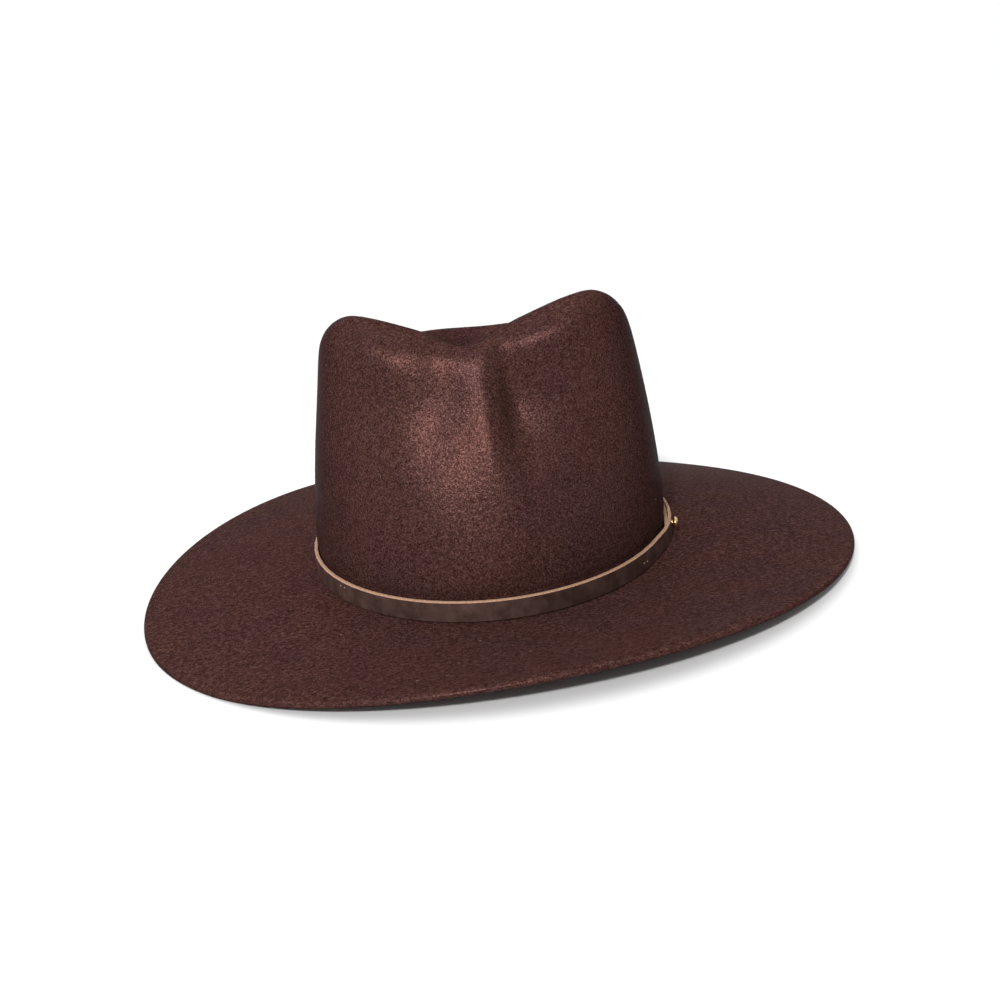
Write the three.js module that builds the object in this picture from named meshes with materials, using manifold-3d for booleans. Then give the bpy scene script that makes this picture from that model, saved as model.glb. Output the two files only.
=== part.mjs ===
// A felt fedora with a centre dent, two front pinches and a narrow leather band.
// Millimetres, +Z up. The front of the hat faces -Y and the wearer's left is +X.
// It lies on its brim, and Z = 0 is the surface that it lies on.

import * as THREE from 'three';
import { mergeVertices } from 'three/addons/utils/BufferGeometryUtils.js';
import Module from 'manifold-3d';

const wasm = await Module();
wasm.setup();

// Felt
const headWidth = 158.8;        // opening inside the felt, side to side
const headLength = 198.4;       // opening inside the felt, front to back
const crownWall = 2.2;
const brimWall = 3;

// Crown
const crownHeight = 121;        // from the brim to the top of the front lobes
const crownSide = -1.6;         // the crown sits this far off the brim's middle
const wallBow = 0.7;            // 0 is a straight side wall, 1 curves in only at the top
const ridgeRound = 0.6;         // fullness of the turn from the side wall to the ridge
const lobeLead = 2;             // the lobe at the wearer's left stands this much higher
const topShift = 2.5;           // the top leans this far towards the wearer's left
const pinchDepth = 17;
const slopeLead = 0.5;          // how far the ridge's flat top carries into the dent
const slopeHold = 0.4;          // how far the dent's flat floor carries up its slope

// Brim
const brimReach = 83.2;          // from the crown's foot to the edge
const brimDroop = 1.8;           // mean drop of the edge below the crown's foot
const brimWave = 7;             // largest rise of the edge's waves
const brimCurl = 1.6;           // 1 rises evenly to the edge, more bends up near it
const footRound = 1.2;          // small inside corner between crown and brim
const footDip = 2;              // the crown's foot and the band lie this much lower at one side
const footDipTurn = -68;        // degrees, the direction of that side
const restPress = 0.8;          // the felt is pressed this flat where it lies

// Band and stud
const seatGap = 0.3;            // between the felt, the strap's two layers and the stud
const strapHeight = 8.5;
const strapThick = 1.5;
const strapLift = 0.9;          // the strap's lower edge above the brim
const strapBevel = 0.5;         // on the strap's outer upper edge
const strapFront = 8;           // inner end, ahead of the stud
const strapTail = 38;           // outer end, behind the stud
const strapPress = 1.2;         // the strap sits this deep in the crown's wall
const strapPressRise = 4;       // height over which the wall swells out above the strap
const strapRamp = 26;           // length over which the strap climbs onto its inner end
const strapClear = 2;           // the climb ends this far before the inner end
const studTurn = -4;            // degrees, the direction that the stud faces
const studHead = 2.8;           // radius
const studRise = 3;             // how far the head stands out of the strap
const studShank = 1.2;          // radius
const studBase = 3;             // radius of the plate under the strap
const studPlate = 0.5;          // thickness of that plate

// Half sizes of the felt's outer oval at the crown's foot
const footX = headWidth / 2 + crownWall;
const footY = headLength / 2 + crownWall;

// The strap's upper edge, and the heights of the wall's rows from its foot to above the strap
const strapTop = strapLift + strapHeight;
const seatTop = strapTop + strapPressRise;
const seatHeights = [footRound, strapTop, (strapTop + seatTop) / 2];

// Crown sections by the direction they face: -90 is the front, 0 the side, 90 the back.
// In is a share of the way from the foot to the middle, up a share of crownHeight.
const sections = [
  { at: -90, wallIn: 0.165, wallUp: 0.63, ridgeIn: 0.320, ridgeUp: 0.865, floorIn: 0.46, floorUp: 0.78 },
  { at: -60, wallIn: 0.132, wallUp: 0.79, ridgeIn: 0.360, ridgeUp: 0.930, floorIn: 0.56, floorUp: 0.74 },
  { at: -30, wallIn: 0.100, wallUp: 0.90, ridgeIn: 0.255, ridgeUp: 0.985, floorIn: 0.65, floorUp: 0.71 },
  { at: 0, wallIn: 0.135, wallUp: 0.69, ridgeIn: 0.440, ridgeUp: 0.860, floorIn: 0.70, floorUp: 0.69 },
  { at: 30, wallIn: 0.146, wallUp: 0.66, ridgeIn: 0.420, ridgeUp: 0.800, floorIn: 0.64, floorUp: 0.675 },
  { at: 60, wallIn: 0.151, wallUp: 0.65, ridgeIn: 0.360, ridgeUp: 0.775, floorIn: 0.54, floorUp: 0.67 },
  { at: 90, wallIn: 0.140, wallUp: 0.64, ridgeIn: 0.300, ridgeUp: 0.755, floorIn: 0.46, floorUp: 0.67 },
];

// Finger pinches beside the crown's front ridge, steep towards the ridge and shallow away from it.
// Out, near and far are shares of footX, up and tall of crownHeight, and deep of pinchDepth.
// Lean is how far out moves over a rise of one crownHeight.
const pinches = [
  { out: 0.32, lean: -0.18, up: 0.67, deep: 1, near: 0.13, far: 0.46, tall: 0.20 },
  { out: -0.22, lean: 0.12, up: 0.68, deep: 0.40, near: 0.19, far: 0.58, tall: 0.20 },
];

// Waves round the brim's edge: how many, their rise as a share of brimWave,
// and the direction of one crest in degrees.
const waves = [
  { count: 1, rise: 1, crest: -67 },
  { count: 2, rise: 0.79, crest: -52 },
  { count: 3, rise: 0.24, crest: 30 },
];

// Fineness of the felt's grid
const columns = 72;
const frontCrowding = 0.45;     // how much closer the columns stand at the front
const rows = { brim: 6, foot: 2, wall: 8, ridge: 6, slope: 5, floor: 3 };
const edgeRows = 3;
const brimSpread = 1.4;         // the brim's rows stand closer near the crown
const strapStep = 5;            // degrees
const tipShares = [0.02, 0.14, 0.4, 0.75, 1];   // points along the strap's rounded ends
const studSides = 20;
const studSteps = 8;            // up the stud's round head
const samePoint = 1e-4;

// The search for the hat's lean on the surface, in degrees
const leanBearings = 24;
const leanFirstStep = 2;
const leanLastStep = 0.01;

const radians = THREE.MathUtils.degToRad;

// The point of an oval whose outward direction is turn
function ovalPoint(halfX, halfY, turn) {
  const x = halfX * Math.cos(turn);
  const y = halfY * Math.sin(turn);
  const reach = Math.hypot(x, y);
  return new THREE.Vector2(halfX * x / reach, halfY * y / reach);
}

function ovalBend(halfX, halfY, turn) {
  const reach = Math.hypot(halfX * Math.cos(turn), halfY * Math.sin(turn));
  return (halfX * halfY) ** 2 / reach ** 3;
}

// A column of the sections table, joined smoothly and alike on both sides of the hat
function sectionValue(name, turn) {
  const facing = THREE.MathUtils.radToDeg(Math.asin(THREE.MathUtils.clamp(Math.sin(turn), -1, 1)));
  const last = sections.length - 1;
  const place = (facing - sections[0].at) / (sections[last].at - sections[0].at) * last;
  const index = Math.min(Math.floor(place), last - 1);
  const value = (k) => sections[last - Math.abs(last - Math.abs(k))][name];
  const [a, b, c, d] = [index - 1, index, index + 1, index + 2].map(value);
  const u = place - index;
  const curve = (2 * a - 5 * b + 4 * c - d) * u * u + (3 * b - a - 3 * c + d) * u ** 3;
  return 0.5 * (2 * b + (c - a) * u + curve);
}

function bezier(a, b, c, d, u) {
  const v = 1 - u;
  return a * v ** 3 + 3 * b * v * v * u + 3 * c * v * u * u + d * u ** 3;
}

// Height of the crown's foot, which the brim, the band and the stud follow
function footHeight(turn) {
  return -footDip * Math.cos(turn - radians(footDipTurn));
}

// The crown's outer surface: a stretch of the profile, and how far along it
function crownPoint(turn, stretch, u) {
  const get = (name) => sectionValue(name, turn);
  const wall = { scale: 1 - get('wallIn'), z: get('wallUp') * crownHeight };
  const ridge = { scale: 1 - get('ridgeIn'), z: get('ridgeUp') * crownHeight };
  const floor = { scale: 1 - get('floorIn'), z: get('floorUp') * crownHeight };
  const middle = sections.reduce((sum, row) => sum + row.floorUp, 0) / sections.length * crownHeight;
  let scale;
  let z;
  let pinched = 1;
  if (stretch === 'seat' || stretch === 'wall') {
    const seat = footHeight(turn);
    z = stretch === 'seat' ? seat + seatHeights[u] : THREE.MathUtils.lerp(seat + seatTop, wall.z, u);
    const part = z / wall.z;
    scale = 1 - get('wallIn') * (part * (1 - wallBow) + wallBow * part * part);
  } else if (stretch === 'ridge') {
    const lift = ridgeRound * (ridge.z - wall.z);
    const draw = get('wallIn') * (1 + wallBow) / wall.z * lift;
    const hold = ridge.scale + ridgeRound * (wall.scale - ridge.scale);
    scale = bezier(wall.scale, wall.scale - draw, hold, ridge.scale, u);
    z = bezier(wall.z, wall.z + lift, ridge.z, ridge.z, u);
  } else if (stretch === 'slope') {
    const fall = floor.scale - ridge.scale;
    const lead = ridge.scale + slopeLead * fall;
    scale = bezier(ridge.scale, lead, floor.scale - slopeHold * fall, floor.scale, u);
    z = bezier(ridge.z, ridge.z, floor.z, floor.z, u);
    pinched = 1 - u;
  } else {
    scale = floor.scale * (1 - u);
    z = THREE.MathUtils.lerp(floor.z, middle, THREE.MathUtils.smoothstep(u, 0, 1));
    pinched = 0;
  }
  const foot = ovalPoint(footX, footY, turn);
  const rise = THREE.MathUtils.smoothstep(z - footHeight(turn), strapTop, seatTop);
  const swell = strapPress * rise * scale;
  const point = new THREE.Vector3(foot.x * scale, foot.y * scale, z);
  point.x += swell * Math.cos(turn);
  point.y += swell * Math.sin(turn);
  const up = z / crownHeight;
  point.x += topShift * up;
  point.z += lobeLead * up * point.x / footX;
  const facing = Math.max(0, -Math.sin(turn));
  for (const pinch of pinches) {
    const above = point.z / crownHeight - pinch.up;
    const gap = point.x / footX - pinch.out - pinch.lean * above;
    const across = gap / (gap * pinch.out > 0 ? pinch.far : pinch.near);
    const high = above / pinch.tall;
    const share = Math.exp(-across * across - high * high) * facing * pinched;
    const push = pinchDepth * pinch.deep * share;
    point.x -= push * Math.cos(turn);
    point.y -= push * Math.sin(turn);
  }
  point.x += crownSide;
  return point;
}

function edgeHeight(turn) {
  const rise = (wave) => wave.rise * Math.cos(wave.count * (turn - radians(wave.crest)));
  return brimWave * waves.reduce((sum, wave) => sum + rise(wave), 0) - brimDroop;
}

// The brim's upper surface, from the crown's foot (0) to its rounded edge (1)
function brimPoint(turn, u) {
  const facing = new THREE.Vector2(Math.cos(turn), Math.sin(turn));
  const foot = ovalPoint(footX, footY, turn);
  const inner = foot.clone().addScaledVector(facing, footRound);
  inner.x += crownSide;
  const outer = foot.clone().addScaledVector(facing, brimReach - brimWall / 2);
  const flat = inner.lerp(outer, u);
  const z = THREE.MathUtils.lerp(footHeight(turn), edgeHeight(turn), u ** brimCurl);
  return new THREE.Vector3(flat.x, flat.y, z);
}

function footPoint(turn, u) {
  const angle = u * Math.PI / 2;
  const away = footRound * (1 - Math.sin(angle));
  const foot = ovalPoint(footX, footY, turn);
  const x = foot.x + away * Math.cos(turn) + crownSide;
  const z = footHeight(turn) + footRound * (1 - Math.cos(angle));
  return new THREE.Vector3(x, foot.y + away * Math.sin(turn), z);
}

// One column of the outer surface, from the brim's edge to beside the crown's middle
function outerColumn(turn) {
  const points = [];
  for (let k = rows.brim; k > 0; k--) {
    points.push(brimPoint(turn, (k / rows.brim) ** brimSpread));
  }
  for (let k = 0; k < rows.foot; k++) {
    points.push(footPoint(turn, k / rows.foot));
  }
  for (let k = 0; k < seatHeights.length; k++) points.push(crownPoint(turn, 'seat', k));
  for (const stretch of ['wall', 'ridge', 'slope', 'floor']) {
    for (let k = 0; k < rows[stretch]; k++) {
      points.push(crownPoint(turn, stretch, k / rows[stretch]));
    }
  }
  return points;
}

function closedMesh(points, faces) {
  const corners = points.flatMap((point) => [point.x, point.y, point.z]);
  const geometry = new THREE.BufferGeometry();
  geometry.setAttribute('position', new THREE.Float32BufferAttribute(corners, 3));
  geometry.setIndex(faces.flat());
  geometry.computeVertexNormals();
  return geometry;
}

// Rings of points joined into one skin, closed at both ends by fans
function skin(rings, firstTip, lastTip) {
  const count = rings[0].length;
  const points = [...rings.flat(), firstTip, lastTip];
  const first = points.length - 2;
  const last = points.length - 1;
  const faces = [];
  for (let k = 0; k < count; k++) {
    const next = (k + 1) % count;
    faces.push([first, next, k]);
    for (let r = 0; r + 1 < rings.length; r++) {
      const a = r * count + k;
      const b = r * count + next;
      faces.push([a, b, b + count], [a, b + count, a + count]);
    }
    const end = (rings.length - 1) * count;
    faces.push([last, end + k, end + next]);
  }
  return closedMesh(points, faces);
}

function feltGeometry() {
  const turns = [];
  for (let k = 0; k < columns; k++) {
    const even = k / columns * 2 * Math.PI;
    turns.push(even - frontCrowding * Math.cos(even));
  }
  const outer = turns.map(outerColumn);
  const height = outer[0].length;
  const top = crownPoint(0, 'floor', 1);

  // The wall's direction at a point of the grid, from its neighbours
  const at = (i, r) => outer[(i + columns) % columns][THREE.MathUtils.clamp(r, 0, height - 1)];
  const across = (i, r) => at(i + 1, r).clone().sub(at(i - 1, r));
  const along = (i, r) => at(i, r + 1).clone().sub(at(i, r - 1));
  const normal = (i, r) => across(i, r).cross(along(i, r)).normalize();
  const lastBrimRow = rows.brim + rows.foot;
  const wallAt = (r) => THREE.MathUtils.lerp(brimWall, crownWall, Math.min(r / lastBrimRow, 1));
  const inner = turns.map((turn, i) => outer[i].map(
    (point, r) => point.clone().addScaledVector(normal(i, r), -wallAt(r))));

  const edge = [];
  for (let e = 1; e <= edgeRows; e++) {
    const angle = Math.PI / 2 - e / (edgeRows + 1) * Math.PI;
    edge.push(turns.map((turn, i) => {
      const middle = outer[i][0].clone().add(inner[i][0]).multiplyScalar(0.5);
      const out = Math.cos(angle) * brimWall / 2;
      const up = Math.sin(angle) * brimWall / 2;
      return middle.add(new THREE.Vector3(out * Math.cos(turn), out * Math.sin(turn), up));
    }));
  }
  const ring = (grid, r) => grid.map((column) => column[r]);
  const rings = [];
  for (let r = height - 1; r >= 0; r--) rings.push(ring(inner, r));
  rings.push(...edge.reverse());
  for (let r = 0; r < height; r++) rings.push(ring(outer, r));
  const under = top.clone();
  under.z -= crownWall;
  return skin(rings, under, top);
}

// The strap's middle line: one turn round the crown's foot, climbing onto its own inner end
const layer = strapThick + seatGap;
const sideBend = ovalBend(footX, footY, radians(studTurn));
const degreesAlong = (length) => THREE.MathUtils.radToDeg(length / sideBend);
const strapStart = studTurn - degreesAlong(strapFront);
const strapEnd = studTurn + degreesAlong(strapTail) + 360;
const climbEnd = strapStart - degreesAlong(strapClear) + 360;
const climbStart = climbEnd - degreesAlong(strapRamp);

function strapOffset(turn) {
  const climb = THREE.MathUtils.smoothstep(turn, climbStart, climbEnd);
  return seatGap + strapThick / 2 + climb * layer;
}

// Distance from the nearer end of the strap
function fromEnd(turn) {
  return Math.min(turn - strapStart, strapEnd - turn) / degreesAlong(1);
}

function strapGeometry() {
  const tip = strapHeight / 2;
  const turns = [];
  const tipSteps = tipShares.map((share) => degreesAlong(share * tip));
  tipSteps.forEach((step) => turns.push(strapStart + step));
  const from = turns[turns.length - 1];
  const to = strapEnd - tipSteps[tipSteps.length - 1];
  const steps = Math.ceil((to - from) / strapStep);
  for (let k = 1; k <= steps; k++) turns.push(THREE.MathUtils.lerp(from, to, k / steps));
  tipSteps.slice(0, -1).reverse().forEach((step) => turns.push(strapEnd - step));

  const rings = turns.map((turn) => {
    const share = Math.min(fromEnd(turn) / tip, 1);
    const round = Math.sqrt(1 - (1 - share) ** 2);
    const angle = radians(turn);
    const foot = ovalPoint(footX, footY, angle);
    const half = strapHeight / 2 * round;
    const bevel = strapBevel * round;
    const section = [
      [-strapThick / 2, half], [strapThick / 2 - bevel, half], [strapThick / 2, half - bevel],
      [strapThick / 2, -half], [-strapThick / 2, -half],
    ];
    return section.map(([out, up]) => {
      const away = strapOffset(turn) + out;
      const x = foot.x + away * Math.cos(angle) + crownSide;
      const z = footHeight(angle) + strapLift + strapHeight / 2 + up;
      return new THREE.Vector3(x, foot.y + away * Math.sin(angle), z);
    });
  });
  const total = (ring) => ring.reduce((sum, point) => sum.add(point), new THREE.Vector3());
  const centre = (ring) => total(ring).divideScalar(ring.length);
  return skin(rings, centre(rings[0]), centre(rings[rings.length - 1]));
}

function toSolid(geometry) {
  const bare = geometry.clone();
  bare.deleteAttribute('normal');
  bare.deleteAttribute('uv');
  const merged = mergeVertices(bare, samePoint);
  return new wasm.Manifold(new wasm.Mesh({
    numProp: 3,
    vertProperties: new Float32Array(merged.attributes.position.array),
    triVerts: new Uint32Array(merged.index.array),
  }));
}

function toGeometry(solid) {
  const mesh = solid.getMesh();
  const geometry = new THREE.BufferGeometry();
  const corners = new Float32Array(mesh.vertProperties);
  geometry.setAttribute('position', new THREE.BufferAttribute(corners, 3));
  geometry.setIndex(new THREE.BufferAttribute(new Uint32Array(mesh.triVerts), 1));
  geometry.computeVertexNormals();
  return geometry;
}

// Where the stud stands: its axis points out of the crown at the strap's middle height
function studMatrix() {
  const angle = radians(studTurn);
  const foot = ovalPoint(footX, footY, angle);
  const out = new THREE.Vector3(Math.cos(angle), Math.sin(angle), 0);
  const turn = new THREE.Quaternion().setFromUnitVectors(new THREE.Vector3(0, 1, 0), out);
  const height = footHeight(angle) + strapLift + strapHeight / 2;
  const start = new THREE.Vector3(foot.x + crownSide, foot.y, height);
  return new THREE.Matrix4().compose(start, turn, new THREE.Vector3(1, 1, 1));
}

// A round piece about the stud's axis, from a profile of radius and distance from the felt
function studTurned(profile, sides) {
  const geometry = new THREE.LatheGeometry(profile.map(([r, y]) => new THREE.Vector2(r, y)), sides);
  return geometry.applyMatrix4(studMatrix());
}

const strapFace = 2 * layer;    // outer face of the strap's second layer, from the felt

function studGeometry() {
  const start = seatGap;
  const plateTop = start + studPlate;
  const headFoot = strapFace + seatGap;
  const headTop = strapFace + studRise;
  const middle = (headFoot + headTop) / 2;
  const half = (headTop - headFoot) / 2;
  const profile = [[0, start], [studBase, start], [studBase, plateTop], [studShank, plateTop]];
  const footAngle = -Math.acos(studShank / studHead);
  for (let k = 0; k <= studSteps; k++) {
    const angle = THREE.MathUtils.lerp(footAngle, Math.PI / 2, k / studSteps);
    profile.push([studHead * Math.cos(angle), middle + half * Math.sin(angle)]);
  }
  profile[profile.length - 1][0] = 0;
  return studTurned(profile, studSides);
}

// The strap's holes for the stud, and the pocket for the plate in its inner layer
function studRoom() {
  const shank = studShank + seatGap;
  const pocket = studBase + seatGap;
  const pocketTop = seatGap + studPlate + seatGap;
  const past = strapThick;
  return studTurned([
    [0, -past], [pocket, -past], [pocket, pocketTop], [shank, pocketTop],
    [shank, strapFace + past], [0, strapFace + past],
  ], studSides);
}

// The middle of a closed body's volume
function weightPoint(geometry) {
  const corner = geometry.attributes.position;
  const index = geometry.index.array;
  const sum = new THREE.Vector3();
  let volume = 0;
  for (let k = 0; k < index.length; k += 3) {
    const take = (i) => new THREE.Vector3().fromBufferAttribute(corner, index[k + i]);
    const [a, b, c] = [take(0), take(1), take(2)];
    const part = a.dot(b.clone().cross(c));
    sum.add(a.add(b).add(c).multiplyScalar(part / 4));
    volume += part;
  }
  return sum.divideScalar(volume);
}

function leanMatrix(forward, side) {
  return new THREE.Matrix4().makeRotationFromEuler(new THREE.Euler(forward, side, 0));
}

// The lean at which a felt lies still: of all leans, its weight is then lowest over the surface
function restingLean(geometry) {
  const weight = weightPoint(geometry);
  const position = geometry.attributes.position;
  const points = [];
  for (let k = 0; k < position.count; k++) {
    const point = new THREE.Vector3().fromBufferAttribute(position, k);
    if (point.z < brimWave + brimWall) points.push(point);
  }
  const height = ([forward, side]) => {
    const up = new THREE.Vector3(0, 0, 1).applyMatrix4(leanMatrix(forward, side).transpose());
    return weight.dot(up) - points.reduce((low, point) => Math.min(low, point.dot(up)), Infinity);
  };
  let best = [0, 0];
  for (let step = radians(leanFirstStep); step > radians(leanLastStep); step /= 2) {
    let moved = true;
    while (moved) {
      moved = false;
      for (let k = 0; k < leanBearings; k++) {
        const bearing = k / leanBearings * 2 * Math.PI;
        const next = [best[0] + step * Math.cos(bearing), best[1] + step * Math.sin(bearing)];
        if (height(next) < height(best)) {
          best = next;
          moved = true;
        }
      }
    }
  }
  return leanMatrix(...best);
}

// The hat leans onto the two low stretches of its brim, in the middle of its box,
// and its felt is pressed flat where it meets the surface
const felt = feltGeometry();
const lean = restingLean(felt);
felt.applyMatrix4(lean);
felt.computeBoundingBox();
const middle = felt.boundingBox.getCenter(new THREE.Vector3());
const fall = felt.boundingBox.min.z + restPress;
const drop = new THREE.Matrix4().makeTranslation(-middle.x, -middle.y, -fall);
felt.applyMatrix4(drop);
const heights = felt.attributes.position;
for (let k = 0; k < heights.count; k++) heights.setZ(k, Math.max(heights.getZ(k), 0));

const strap = toGeometry(toSolid(strapGeometry()).subtract(toSolid(studRoom())));
const stud = toGeometry(toSolid(studGeometry()));
strap.applyMatrix4(lean).applyMatrix4(drop);
stud.applyMatrix4(lean).applyMatrix4(drop);

const feltFinish = new THREE.MeshStandardMaterial({ color: 0x3c2523, roughness: 0.95, metalness: 0 });
const strapFinish = new THREE.MeshStandardMaterial({ color: 0x2c211f, roughness: 0.45, metalness: 0 });
const brassFinish = new THREE.MeshStandardMaterial({ color: 0xb08d4f, roughness: 0.3, metalness: 1 });

function named(name, geometry, material) {
  const mesh = new THREE.Mesh(geometry, material);
  mesh.name = name;
  return mesh;
}

const fedora = new THREE.Group();
fedora.add(
  named('felt_body', felt, feltFinish),
  named('leather_band', strap, strapFinish),
  named('band_stud', stud, brassFinish),
);

export default fedora;
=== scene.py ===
# A felt fedora lying on a plain pale surface. Metres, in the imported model's frame:
# +Z up, the front of the hat faces -Y, and the wearer's left is +X.

import math

import bmesh
import bpy
from mathutils import Matrix, Vector


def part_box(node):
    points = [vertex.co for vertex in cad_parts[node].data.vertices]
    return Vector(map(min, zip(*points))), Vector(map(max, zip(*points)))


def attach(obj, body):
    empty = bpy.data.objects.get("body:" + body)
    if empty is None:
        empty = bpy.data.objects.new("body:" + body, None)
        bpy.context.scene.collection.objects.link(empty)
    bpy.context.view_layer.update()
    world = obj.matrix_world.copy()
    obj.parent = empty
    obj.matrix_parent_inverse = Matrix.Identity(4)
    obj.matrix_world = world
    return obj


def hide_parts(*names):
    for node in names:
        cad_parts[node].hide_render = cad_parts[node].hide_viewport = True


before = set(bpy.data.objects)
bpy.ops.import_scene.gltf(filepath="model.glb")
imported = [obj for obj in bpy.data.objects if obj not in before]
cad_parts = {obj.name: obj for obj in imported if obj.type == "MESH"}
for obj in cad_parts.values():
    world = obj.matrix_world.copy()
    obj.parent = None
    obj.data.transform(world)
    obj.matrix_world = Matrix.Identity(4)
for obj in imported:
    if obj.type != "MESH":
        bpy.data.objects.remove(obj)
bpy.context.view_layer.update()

# Camera
# A little above the brim, ahead of the hat and turned slightly to the wearer's left.

CAMERA_PLACE = (0.04964, -0.57530, 0.17346)
SIGHT = Vector((-0.07629, 0.96666, -0.24445))
ABOVE = Vector((0.10556, 0.25162, 0.96205))


def in_scene(name, data):
    thing = bpy.data.objects.new(name, data)
    bpy.context.scene.collection.objects.link(thing)
    return thing


camera = in_scene("camera", bpy.data.cameras.new("camera"))
bpy.context.scene.camera = camera
camera.data.lens = 45.044
camera.data.sensor_width = 36
camera.data.clip_end = 50
turned = Matrix((SIGHT.cross(ABOVE), ABOVE, -SIGHT)).transposed().to_4x4()
camera.matrix_world = Matrix.Translation(CAMERA_PLACE) @ turned
bpy.context.scene.view_settings.view_transform = "Standard"

# Surface and backdrop
# Plain pale paper: flat under the hat, and swept up far behind it.

PAPER = (0.74, 0.74, 0.74)
PAPER_EDGE = 6          # from the hat to the left, right and front edges
SWEEP_START = 1         # where the flat part ends, behind the hat
SWEEP_RADIUS = 2
SWEEP_TURN = 80         # degrees


def new_material(name):
    material = bpy.data.materials.new(name)
    material.use_nodes = True
    nodes = material.node_tree.nodes
    return material, nodes, material.node_tree.links, nodes["Principled BSDF"]


form = bmesh.new()
start = form.verts.new((-PAPER_EDGE, -PAPER_EDGE, 0))
strip = bmesh.ops.extrude_vert_indiv(form, verts=[start])
bmesh.ops.translate(form, vec=(2 * PAPER_EDGE, 0, 0), verts=strip["verts"])
flat = bmesh.ops.extrude_edge_only(form, edges=strip["edges"])["geom"]
bmesh.ops.translate(form, vec=(0, PAPER_EDGE + SWEEP_START, 0),
                    verts=[v for v in flat if isinstance(v, bmesh.types.BMVert)])
back_edge = [e for e in flat
             if isinstance(e, bmesh.types.BMEdge) and all(v.co.y > 0 for v in e.verts)]
bmesh.ops.spin(form, geom=back_edge + list(back_edge[0].verts),
               cent=(0, SWEEP_START, SWEEP_RADIUS), axis=(1, 0, 0),
               angle=math.radians(SWEEP_TURN), steps=20, use_merge=False, use_duplicate=False)
bmesh.ops.remove_doubles(form, verts=form.verts, dist=0.0001)
bmesh.ops.recalc_face_normals(form, faces=form.faces)
for face in form.faces:
    face.smooth = True
mesh = bpy.data.meshes.new("paper")
form.to_mesh(mesh)
form.free()
paper = in_scene("paper", mesh)

material, nodes, links, shader = new_material("white_paper")
shader.inputs["Base Color"].default_value = (*PAPER, 1)
shader.inputs["Roughness"].default_value = 0.9
paper.data.materials.append(material)

# Light
# A pale room, brighter overhead and on the left, and one small key lamp in front,
# a little to the left.

BRIGHT_WAY = (-0.55, 0.38, 0.74)
BRIGHTEST = 1.54
KEY_PLACE = Vector((-0.60, -4.25, 2.66))
KEY_AIM = Vector((0, 0, 0.06))

room = bpy.data.worlds.new("room")
bpy.context.scene.world = room
room.use_nodes = True
nodes, links = room.node_tree.nodes, room.node_tree.links
nodes["Background"].inputs["Color"].default_value = (1, 1, 1, 1)
compass = nodes.new("ShaderNodeTexCoord")
toward = nodes.new("ShaderNodeVectorMath")
toward.operation = "DOT_PRODUCT"
toward.inputs[1].default_value = BRIGHT_WAY
fade = nodes.new("ShaderNodeMapRange")
fade.inputs["From Min"].default_value = -1
fade.inputs["From Max"].default_value = 1
fade.inputs["To Min"].default_value = 0
fade.inputs["To Max"].default_value = BRIGHTEST
links.new(compass.outputs["Generated"], toward.inputs[0])
links.new(toward.outputs["Value"], fade.inputs["Value"])
links.new(fade.outputs["Result"], nodes["Background"].inputs["Strength"])

key = in_scene("key", bpy.data.lights.new("key", "AREA"))
key.data.shape = "DISK"
key.data.size = 0.40
key.data.energy = 235
key.location = KEY_PLACE
key.rotation_euler = (KEY_AIM - KEY_PLACE).to_track_quat("-Z", "Y").to_euler()

# Felt
# Crown and brim are one piece of pressed fur felt, steamed and blocked to shape,
# then sanded to a short nap. The brim's nap is a little coarser. Faces that look up are
# painted paler and the walls darker, as painted overhead light and shade.

FELT_DARK = (0.018, 0.0072, 0.0061)
FELT_MID = (0.047, 0.0203, 0.0178)
FELT_LIGHT = (0.108, 0.0530, 0.0465)
WALL_LEAN = 0.70        # the surface looks this far up where the crown's nap and its painted shade end
BRIM_LEAN = 0.97        # and where the brim's nap and its painted overhead light begin


def merged_copy(node):
    copied = bmesh.new()
    copied.from_mesh(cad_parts[node].data)
    bmesh.ops.remove_doubles(copied, verts=copied.verts, dist=0.00001)
    return copied


def finished(name, form):
    mesh = bpy.data.meshes.new(name)
    form.to_mesh(mesh)
    form.free()
    if mesh.attributes.get("custom_normal"):
        mesh.attributes.remove(mesh.attributes["custom_normal"])
    return in_scene(name, mesh)


def smoothed(form, degrees):
    for face in form.faces:
        face.smooth = True
    for edge in form.edges:
        edge.smooth = edge.calc_face_angle(0) < math.radians(degrees)


def grey(level):
    return (level, level, level)


def noise(nodes, links, source, scale, detail, roughness=0.5):
    pattern = nodes.new("ShaderNodeTexNoise")
    pattern.inputs["Scale"].default_value = scale
    pattern.inputs["Detail"].default_value = detail
    pattern.inputs["Roughness"].default_value = roughness
    links.new(source, pattern.inputs["Vector"])
    return pattern.outputs["Fac"]


def ramp(nodes, links, source, stops):
    scale = nodes.new("ShaderNodeValToRGB")
    while len(scale.color_ramp.elements) < len(stops):
        scale.color_ramp.elements.new(0.5)
    for element, (position, colour) in zip(scale.color_ramp.elements, stops):
        element.position = position
        element.color = (*colour, 1)
    links.new(source, scale.inputs["Fac"])
    return scale.outputs["Color"]


def blend(nodes, links, kind, below, above, amount=None):
    mix = nodes.new("ShaderNodeMix")
    mix.data_type = "RGBA"
    mix.blend_type = kind
    mix.inputs["Factor"].default_value = 1
    if amount is not None:
        links.new(amount, mix.inputs["Factor"])
    links.new(below, mix.inputs[6])
    links.new(above, mix.inputs[7])
    return mix.outputs[2]


def bump(nodes, links, height, strength, distance, below=None):
    relief = nodes.new("ShaderNodeBump")
    relief.inputs["Strength"].default_value = strength
    relief.inputs["Distance"].default_value = distance
    links.new(height, relief.inputs["Height"])
    if below is not None:
        links.new(below, relief.inputs["Normal"])
    return relief.outputs["Normal"]


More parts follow.
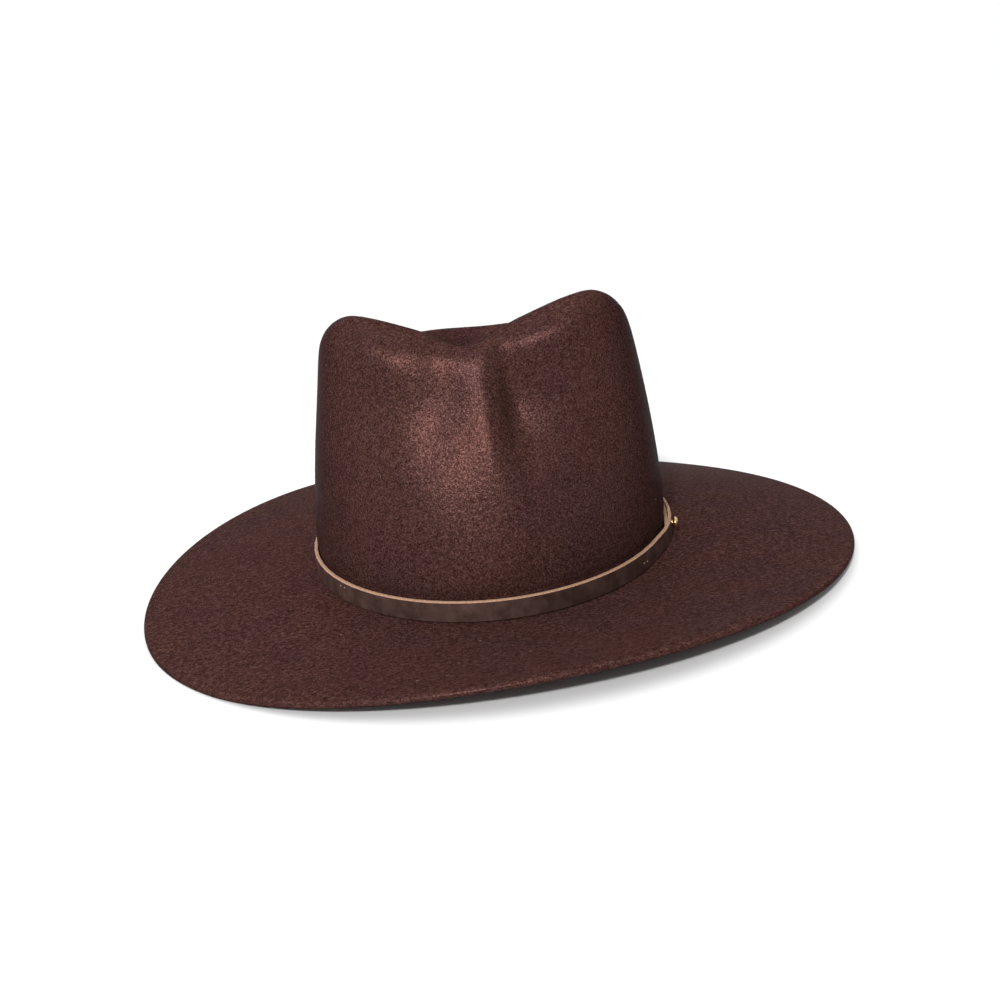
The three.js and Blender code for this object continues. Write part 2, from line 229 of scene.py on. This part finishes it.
form = merged_copy("felt_body")
bmesh.ops.join_triangles(form, faces=form.faces, angle_face_threshold=math.radians(60),
                         angle_shape_threshold=math.radians(60))
smoothed(form, 180)
felt = finished("fedora_felt", form)
rounding = felt.modifiers.new("rounding", "SUBSURF")
rounding.levels = rounding.render_levels = 2
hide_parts("felt_body")
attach(felt, "root")

material, nodes, links, shader = new_material("brown_felt")
shader.inputs["Roughness"].default_value = 0.36
shader.inputs["Metallic"].default_value = 0.38
shader.inputs["Specular IOR Level"].default_value = 0
shader.inputs["Specular Tint"].default_value = (0.22, 0.32, 0.34, 1)
place = nodes.new("ShaderNodeTexCoord").outputs["Object"]
surface = nodes.new("ShaderNodeNewGeometry")
facing = nodes.new("ShaderNodeSeparateXYZ")
links.new(surface.outputs["Normal"], facing.inputs[0])
upward = facing.outputs["Z"]

fine = noise(nodes, links, place, scale=1500, detail=3, roughness=0.7)
coarse = noise(nodes, links, place, scale=560, detail=3, roughness=0.7)
coarse_share = ramp(nodes, links, upward, [(WALL_LEAN, grey(0.20)), (BRIM_LEAN, grey(0.48))])
specks = blend(nodes, links, "MIX", fine, coarse, coarse_share)
base = ramp(nodes, links, specks, [(0.37, FELT_DARK), (0.49, FELT_MID), (0.64, FELT_LIGHT)])
clouds = noise(nodes, links, place, scale=38, detail=3, roughness=0.55)
tint = ramp(nodes, links, clouds,
            [(0.35, (0.93, 0.93, 1.0)), (0.50, (1, 1, 1)), (0.66, (1.03, 1.0, 0.95))])
base = blend(nodes, links, "MULTIPLY", base, tint)
# Painted overhead light: up-facing faces such as the brim are lightened, and the crown's walls
# darkened as painted shade.
painted_overhead_light = ramp(nodes, links, upward, [(WALL_LEAN, grey(0.90)), (BRIM_LEAN, grey(1.18))])
base = blend(nodes, links, "MULTIPLY", base, painted_overhead_light)
links.new(base, shader.inputs["Base Color"])

grain = bump(nodes, links, noise(nodes, links, place, scale=620, detail=2, roughness=0.6),
             strength=1, distance=0.0002)
short_nap = bump(nodes, links, noise(nodes, links, place, scale=1700, detail=2, roughness=0.6),
                 strength=1, distance=0.0001, below=grain)
links.new(short_nap, shader.inputs["Normal"])
felt.data.materials.append(material)

# Nap and lint
# Short brown fibres of the felt stand out of its sanded surface, and a few longer,
# pale threads of lint cling to it.


def scattered(name, density, seed, length, radius, lean, material):
    """Cones of three sides, scattered over the felt and leaning by lean's two limits, radians."""
    tree = bpy.data.node_groups.new(name, "GeometryNodeTree")
    tree.interface.new_socket("Geometry", in_out="OUTPUT", socket_type="NodeSocketGeometry")
    nodes, links = tree.nodes, tree.links
    host = nodes.new("GeometryNodeObjectInfo")
    host.transform_space = "RELATIVE"
    host.inputs["Object"].default_value = felt
    spread = nodes.new("GeometryNodeDistributePointsOnFaces")
    spread.inputs["Density"].default_value = density
    spread.inputs["Seed"].default_value = seed
    links.new(host.outputs["Geometry"], spread.inputs["Mesh"])
    fibre = nodes.new("GeometryNodeMeshCone")
    fibre.inputs["Vertices"].default_value = 3
    fibre.inputs["Radius Top"].default_value = 0
    fibre.inputs["Radius Bottom"].default_value = radius
    fibre.inputs["Depth"].default_value = length

    # Each fibre is turned about the surface's normal, and then leant over.
    chance = nodes.new("FunctionNodeRandomValue")
    chance.data_type = "FLOAT_VECTOR"
    chance.inputs[0].default_value = (lean[0], 0, -math.pi)
    chance.inputs[1].default_value = (lean[1], 0, math.pi)
    chance.inputs["Seed"].default_value = seed + 1
    parts = nodes.new("ShaderNodeSeparateXYZ")
    links.new(chance.outputs[0], parts.inputs[0])
    rotation = spread.outputs["Rotation"]
    for axis in "ZX":
        angle = nodes.new("ShaderNodeCombineXYZ")
        links.new(parts.outputs[axis], angle.inputs[axis])
        turn = nodes.new("FunctionNodeRotateRotation")
        turn.rotation_space = "LOCAL"
        links.new(rotation, turn.inputs["Rotation"])
        links.new(angle.outputs[0], turn.inputs["Rotate By"])
        rotation = turn.outputs["Rotation"]

    size = nodes.new("FunctionNodeRandomValue")
    size.data_type = "FLOAT"
    size.inputs[2].default_value = 0.5
    size.inputs[3].default_value = 1.3
    size.inputs["Seed"].default_value = seed + 2
    place = nodes.new("GeometryNodeInstanceOnPoints")
    links.new(spread.outputs["Points"], place.inputs["Points"])
    links.new(fibre.outputs["Mesh"], place.inputs["Instance"])
    links.new(rotation, place.inputs["Rotation"])
    links.new(size.outputs[1], place.inputs["Scale"])
    real = nodes.new("GeometryNodeRealizeInstances")
    links.new(place.outputs["Instances"], real.inputs["Geometry"])
    finish = nodes.new("GeometryNodeSetMaterial")
    finish.inputs["Material"].default_value = material
    links.new(real.outputs["Geometry"], finish.inputs["Geometry"])
    out = nodes.new("NodeGroupOutput")
    links.new(finish.outputs["Geometry"], out.inputs[0])
    mesh = bpy.data.meshes.new(name)
    mesh.materials.append(material)
    piece = in_scene(name, mesh)
    piece.modifiers.new("fibres", "NODES").node_group = tree
    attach(piece, "root")


def fibre_material(name, dark, light):
    material, nodes, links, shader = new_material(name)
    shader.inputs["Roughness"].default_value = 0.7
    shader.inputs["Specular IOR Level"].default_value = 0.1
    place = nodes.new("ShaderNodeTexCoord").outputs["Object"]
    shade = noise(nodes, links, place, scale=400, detail=2)
    colour = ramp(nodes, links, shade, [(0.35, dark), (0.65, light)])
    links.new(colour, shader.inputs["Base Color"])
    return material


nap_brown = fibre_material("nap_brown", (0.045, 0.018, 0.015), (0.120, 0.060, 0.050))
lint_pale = fibre_material("lint_pale", (0.22, 0.16, 0.14), (0.45, 0.38, 0.34))
scattered("felt_nap", density=110000, seed=3, length=0.0009, radius=0.000035,
          lean=(0.9, 1.35), material=nap_brown)
scattered("felt_lint", density=800, seed=11, length=0.0014, radius=0.00006,
          lean=(1.35, 1.55), material=lint_pale)

# Leather band
# One narrow strap of smooth brown leather round the crown's foot. Its cut edges are raw and tan,
# and its outer end lies over the inner one at the wearer's left.

LEATHER_DARK = (0.098, 0.055, 0.046)
LEATHER_LIGHT = (0.155, 0.093, 0.080)
RAW_DARK = (0.19, 0.100, 0.060)
RAW_LIGHT = (0.40, 0.235, 0.145)
STRAP_HALF_WIDTH = 0.0827       # of the oval that the strap lies in
STRAP_HALF_LENGTH = 0.1026
SMOOTH_SIDE = 0.86              # a face that looks out of the oval by more than this is smooth

form = merged_copy("leather_band")
bmesh.ops.dissolve_limit(form, angle_limit=math.radians(1), verts=form.verts, edges=form.edges)
smoothed(form, 35)
low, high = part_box("leather_band")
middle = (Vector(low) + Vector(high)) / 2
for face in form.faces:
    way = face.calc_center_median() - middle
    way = Vector((way.x / STRAP_HALF_WIDTH ** 2, way.y / STRAP_HALF_LENGTH ** 2, 0)).normalized()
    face.material_index = 0 if abs(face.normal.dot(way)) > SMOOTH_SIDE else 1
band = finished("fedora_band", form)
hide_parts("leather_band")
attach(band, "root")

material, nodes, links, shader = new_material("smooth_leather")
shader.inputs["Specular IOR Level"].default_value = 0
shader.inputs["Specular Tint"].default_value = (0.3, 0.3, 0.3, 1)
shader.inputs["Metallic"].default_value = 0.9
place = nodes.new("ShaderNodeTexCoord").outputs["Object"]
scuffs = noise(nodes, links, place, scale=160, detail=4, roughness=0.6)
base = ramp(nodes, links, scuffs, [(0.35, LEATHER_DARK), (0.65, LEATHER_LIGHT)])
links.new(base, shader.inputs["Base Color"])
shine = ramp(nodes, links, scuffs, [(0.30, grey(0.50)), (0.70, grey(0.58))])
links.new(shine, shader.inputs["Roughness"])
pores = bump(nodes, links, noise(nodes, links, place, scale=1800, detail=2),
             strength=0.25, distance=0.0001)
links.new(pores, shader.inputs["Normal"])
band.data.materials.append(material)

material, nodes, links, shader = new_material("raw_leather_edge")
shader.inputs["Roughness"].default_value = 0.85
place = nodes.new("ShaderNodeTexCoord").outputs["Object"]
fluff = noise(nodes, links, place, scale=1400, detail=4, roughness=0.7)
base = ramp(nodes, links, fluff, [(0.30, RAW_DARK), (0.65, RAW_LIGHT)])
links.new(base, shader.inputs["Base Color"])
fuzz = bump(nodes, links, fluff, strength=0.6, distance=0.0003)
links.new(fuzz, shader.inputs["Normal"])
band.data.materials.append(material)

# Thread tacks
# Two pairs of short stitches of tan thread, just under the strap's upper edge,
# hold the leather to the felt.

THREAD_DARK = (0.18, 0.10, 0.06)
THREAD_LIGHT = (0.42, 0.27, 0.17)
TACK_SIZE = (0.00022, 0.00050, 0.00028)     # half of its depth, width and height
TACKS = [
    # x, y, z of the stitch on the strap's face, and the direction that the face looks in, degrees
    (-0.06267, -0.06984, 0.01539, -145),
    (-0.06056, -0.07258, 0.01527, -140),
    (0.06723, -0.05819, 0.00798, -31),
    (0.06878, -0.05522, 0.00774, -26),
]

form = bmesh.new()
for x, y, z, facing in TACKS:
    stand = Matrix.Translation((x, y, z)) @ Matrix.Rotation(math.radians(facing), 4, "Z")
    shape = Matrix.Diagonal((*TACK_SIZE, 1))
    bmesh.ops.create_uvsphere(form, u_segments=12, v_segments=8, radius=1, matrix=stand @ shape)
smoothed(form, 180)
tacks = finished("band_tacks", form)
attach(tacks, "root")

material, nodes, links, shader = new_material("tan_thread")
shader.inputs["Roughness"].default_value = 0.7
place = nodes.new("ShaderNodeTexCoord").outputs["Object"]
twist = noise(nodes, links, place, scale=2600, detail=2)
base = ramp(nodes, links, twist, [(0.35, THREAD_DARK), (0.65, THREAD_LIGHT)])
links.new(base, shader.inputs["Base Color"])
strands = bump(nodes, links, twist, strength=0.6, distance=0.0001)
links.new(strands, shader.inputs["Normal"])
tacks.data.materials.append(material)

# Stud
# A solid brass stud with a round polished head. It is riveted through the inner end of the strap
# and buttoned through the outer one.

BRASS = (0.80, 0.56, 0.26)
BRASS_WORN = (0.46, 0.29, 0.12)

form = merged_copy("band_stud")
smoothed(form, 40)
stud = finished("fedora_stud", form)
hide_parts("band_stud")
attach(stud, "root")

material, nodes, links, shader = new_material("polished_brass")
shader.inputs["Metallic"].default_value = 1
place = nodes.new("ShaderNodeTexCoord").outputs["Object"]
wear = noise(nodes, links, place, scale=700, detail=4, roughness=0.6)
base = ramp(nodes, links, wear, [(0.35, BRASS_WORN), (0.55, BRASS)])
links.new(base, shader.inputs["Base Color"])
shine = ramp(nodes, links, wear, [(0.35, grey(0.42)), (0.60, grey(0.22))])
links.new(shine, shader.inputs["Roughness"])
stud.data.materials.append(material)
